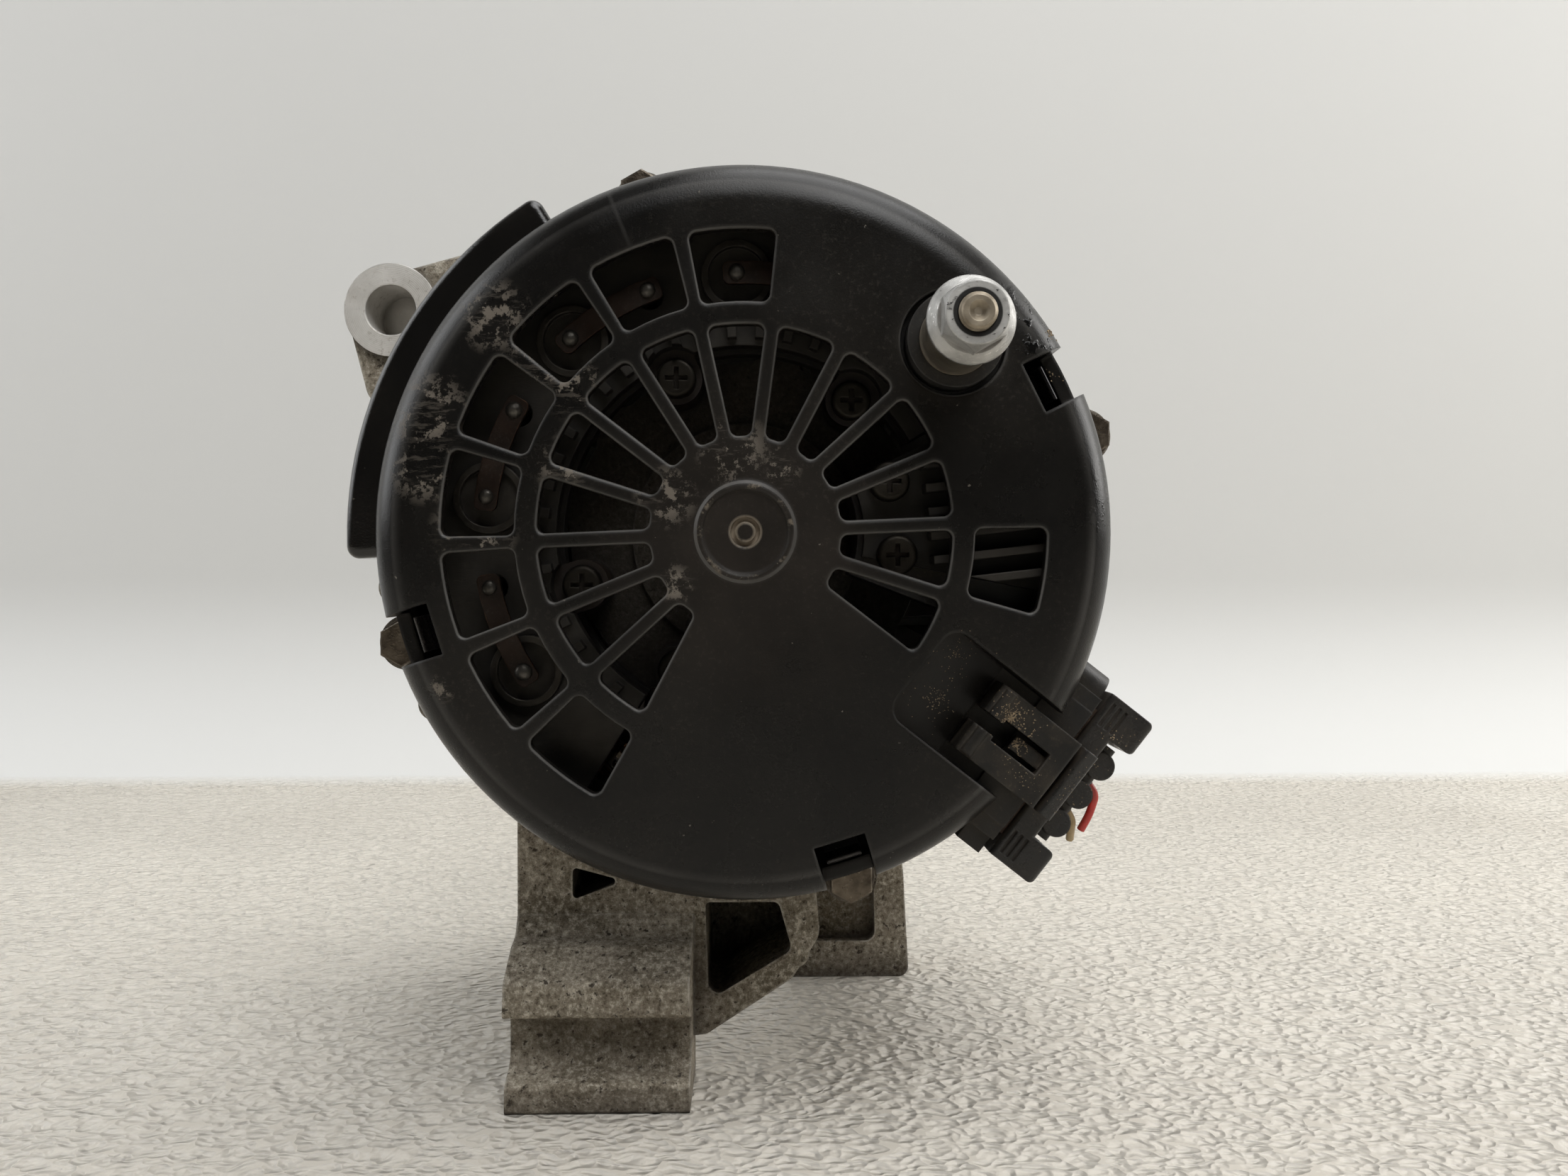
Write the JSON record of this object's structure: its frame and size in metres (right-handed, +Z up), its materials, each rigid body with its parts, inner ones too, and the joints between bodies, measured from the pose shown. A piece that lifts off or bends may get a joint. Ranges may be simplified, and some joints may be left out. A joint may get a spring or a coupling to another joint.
{
  "type": "car alternator",
  "caption": "Belt-driven car alternator with a vented rear cover, two cast brackets with feet and an ear, claw-pole rotor, rectifier, regulator and harness plug.",
  "frame": {"origin": "on the shaft axis, in the middle plane of the belt pulley", "axes": "+Y along the shaft from the rear cover to the pulley, +Z up with both feet down, +X to the right seen from the rear"},
  "size_m": [0.1548, 0.17, 0.1809],
  "materials": {
    "cover_plastic": "moulded black glass-filled nylon, satin rim, scuffed and dusty",
    "moulded_plastic": "black moulded phenolic and nylon",
    "cast_aluminium": "die-cast, dull, dirty in the corners, machined pads",
    "lamination_steel": "stacked electrical sheet, light rust",
    "copper": "enamelled and bare copper",
    "slot_paper": "insulating paper",
    "bolt_steel": "weathered zinc-plated steel, greasy",
    "bearing_steel": "ground bearing steel",
    "cage_steel": "pressed steel",
    "rubber_seal": "nitrile",
    "extruded_aluminium": "plain plate and fins",
    "carrier_plastic": "brown phenolic",
    "nut_steel": "bright worn zinc",
    "sleeve_metal": "yellow-passivated sleeve",
    "forged_steel": "forged low-carbon steel",
    "bobbin_plastic": "natural nylon",
    "carbon": "copper-graphite",
    "spring_steel": "spring wire and clips",
    "pulley_steel": "dark phosphated steel, bright grooves",
    "plug_plastic": "black moulded nylon, dusty",
    "latch_plastic": "dark grey moulded nylon, dusty",
    "seal_silicone": "silicone",
    "red_insulation": "red wire sheath",
    "tan_insulation": "tan wire sheath",
    "terminal_tin": "tinned brass blades"
  },
  "bodies": {
    "housing": {"rear_cover": "cover_plastic", "cover_clips": "spring_steel", "slip_ring_end_bracket": "cast_aluminium", "drive_end_bracket": "cast_aluminium", "stator_core": "lamination_steel", "stator_winding": "copper", "slot_liners": "slot_paper", "through_bolts": "bolt_steel", "bearing_retainer": "cage_steel", "retainer_screws": "bolt_steel", "negative_heat_sink": "extruded_aluminium", "rectifier_carrier": "carrier_plastic", "positive_heat_sink": "extruded_aluminium", "negative_diodes": "cage_steel", "positive_diodes": "cage_steel", "phase_straps": "copper", "rectifier_screws": "bolt_steel", "output_stud": "bolt_steel", "stud_sleeve": "sleeve_metal", "stud_insulator": "moulded_plastic", "stud_nut": "nut_steel", "voltage_regulator": "moulded_plastic", "terminal_pins": "terminal_tin", "regulator_heat_sink": "extruded_aluminium", "regulator_screws": "bolt_steel", "brush_holder": "moulded_plastic", "brush_screws": "bolt_steel", "inner_brush_spring": "spring_steel", "outer_brush_spring": "spring_steel", "front_bearing_outer_ring": "bearing_steel", "rear_bearing_outer_ring": "bearing_steel", "front_bearing_seals": "rubber_seal", "rear_bearing_seals": "rubber_seal"},
    "rotor": {"rotor_shaft": "forged_steel", "slip_ring_sleeve": "moulded_plastic", "slip_rings": "copper", "front_claw_pole": "forged_steel", "rear_claw_pole": "forged_steel", "coil_bobbin": "bobbin_plastic", "field_coil": "copper", "front_fan": "cage_steel", "rear_fan": "cage_steel", "spacer_collar": "bolt_steel", "pulley": "pulley_steel", "pulley_washer": "bolt_steel", "pulley_nut": "bolt_steel", "front_bearing_inner_ring": "bearing_steel", "rear_bearing_inner_ring": "bearing_steel"},
    "front_ball_set": {"front_bearing_balls": "bearing_steel", "front_bearing_cage": "cage_steel"},
    "rear_ball_set": {"rear_bearing_balls": "bearing_steel", "rear_bearing_cage": "cage_steel"},
    "inner_brush": {"inner_brush": "carbon"},
    "outer_brush": {"outer_brush": "carbon"},
    "harness_plug": {"plug_housing": "plug_plastic", "plug_seal": "seal_silicone", "red_wire_stub": "red_insulation", "tan_wire_stub": "tan_insulation"},
    "plug_latch": {"plug_latch": "latch_plastic"}
  },
  "joints": [
    {"name": "rotor_spin", "type": "hinge", "parent": "housing", "child": "rotor", "pos_m": [0, 0, 0], "axis": [0, 1, 0], "continuous": true},
    {"name": "front_cage_spin", "type": "hinge", "parent": "housing", "child": "front_ball_set", "pos_m": [0, 0, 0], "axis": [0, 1, 0], "continuous": true},
    {"name": "rear_cage_spin", "type": "hinge", "parent": "housing", "child": "rear_ball_set", "pos_m": [0, 0, 0], "axis": [0, 1, 0], "continuous": true},
    {"name": "inner_brush_slide", "type": "slide", "parent": "housing", "child": "inner_brush", "axis": [0, 0, -1], "range_m": [0, 0.004], "stiffness_N_per_m": 300, "springref_m": -0.012, "deforming": ["inner_brush_spring"]},
    {"name": "outer_brush_slide", "type": "slide", "parent": "housing", "child": "outer_brush", "axis": [0, 0, -1], "range_m": [0, 0.004], "stiffness_N_per_m": 300, "springref_m": -0.012, "deforming": ["outer_brush_spring"]},
    {"name": "plug_pull", "type": "slide", "parent": "housing", "child": "harness_plug", "axis": [0.788, 0, -0.6157], "range_m": [0, 0.022]},
    {"name": "latch_lift", "type": "hinge", "parent": "harness_plug", "child": "plug_latch", "pos_m": [0.05359, -0.12038, -0.04186], "axis": [0.6157, 0, 0.788], "range_deg": [0, 5], "stiffness_Nm_per_rad": 0.2, "springref_deg": -2.86}
  ],
  "couplings": [
    {"joint": "front_cage_spin", "follows": "rotor_spin", "ratio": 0.35125},
    {"joint": "rear_cage_spin", "follows": "rotor_spin", "ratio": 0.3808}
  ]
}
